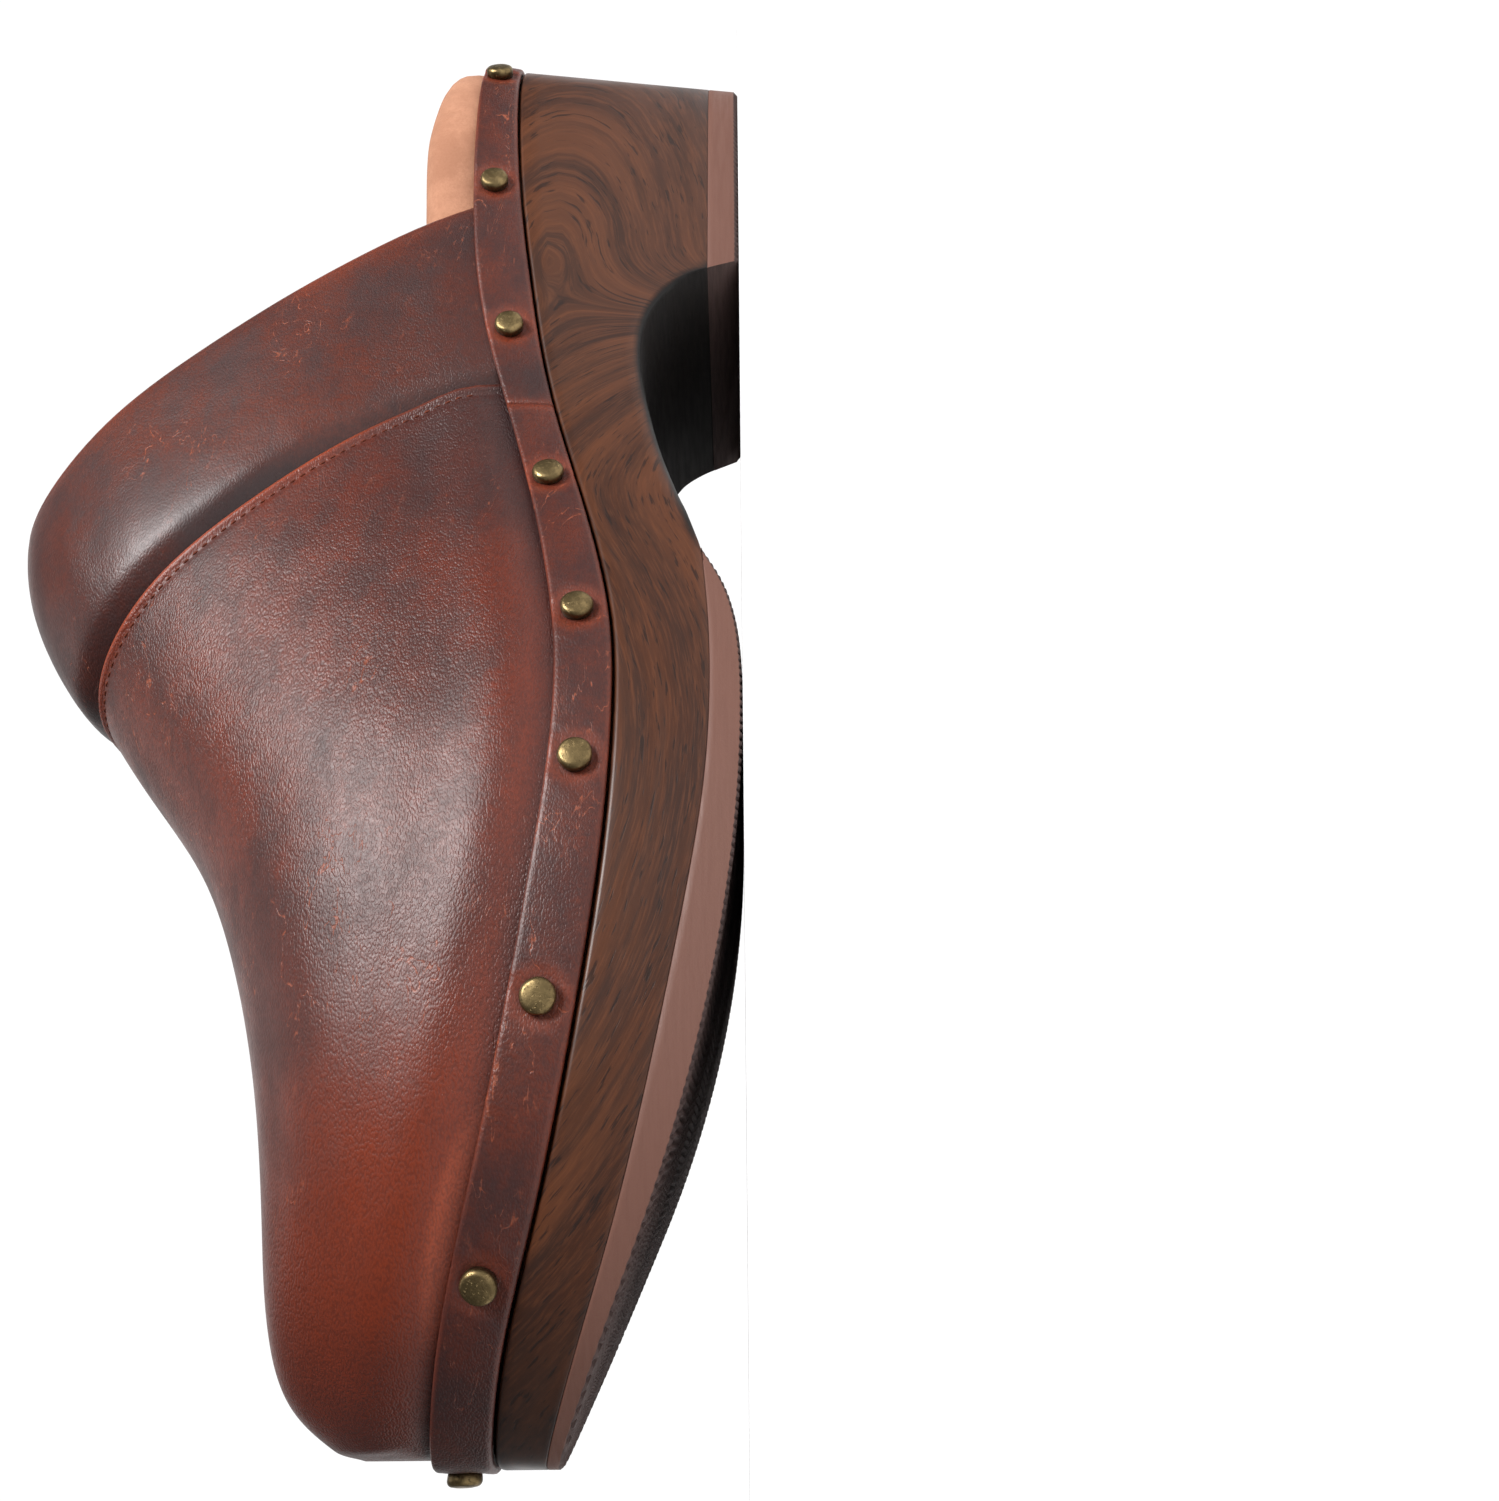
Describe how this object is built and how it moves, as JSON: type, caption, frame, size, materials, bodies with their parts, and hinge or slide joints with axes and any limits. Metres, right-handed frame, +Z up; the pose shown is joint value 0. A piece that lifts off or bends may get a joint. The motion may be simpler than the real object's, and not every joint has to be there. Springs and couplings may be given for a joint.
{
  "type": "wooden-soled clog",
  "caption": "Right-foot closed-toe mule clog: leather upper with padded collar nailed through a leather rand to a heeled wooden sole with rubber tread.",
  "frame": {"origin": "middle of the heel lift's ground face", "axes": "+X towards the toe, +Y towards the inner side of the foot, +Z up from the ground"},
  "size_m": [0.2608, 0.1017, 0.1267],
  "materials": {
    "wood": "satin lacquered dark walnut",
    "sole_rubber": "matte mauve-brown rubber",
    "upper_leather": "oxblood pull-up leather, satin",
    "rand_leather": "oxblood leather strip, satin",
    "lining_leather": "unlacquered tan lining leather",
    "footbed_suede": "peach-tan suede",
    "foam": "soft open-cell foam",
    "backing": "cotton backing cloth",
    "stiffener": "thermoplastic toe stiffener",
    "antique_brass": "antiqued brass",
    "thread": "waxed rust-red thread"
  },
  "bodies": {
    "root": {"wooden_sole": "wood", "forefoot_outsole": "sole_rubber", "heel_top_lift": "sole_rubber", "footbed_cushion": "foam", "footbed_cover": "footbed_suede", "front_rand_strip": "rand_leather", "rear_rand_strip": "rand_leather", "front_rand_nails": "antique_brass", "rear_rand_nails": "antique_brass", "vamp": "upper_leather", "vamp_doubler": "backing", "toe_puff": "stiffener", "vamp_lining": "lining_leather", "collar_band": "upper_leather", "collar_padding": "foam", "collar_lining": "lining_leather", "collar_stitching": "thread"}
  },
  "joints": []
}
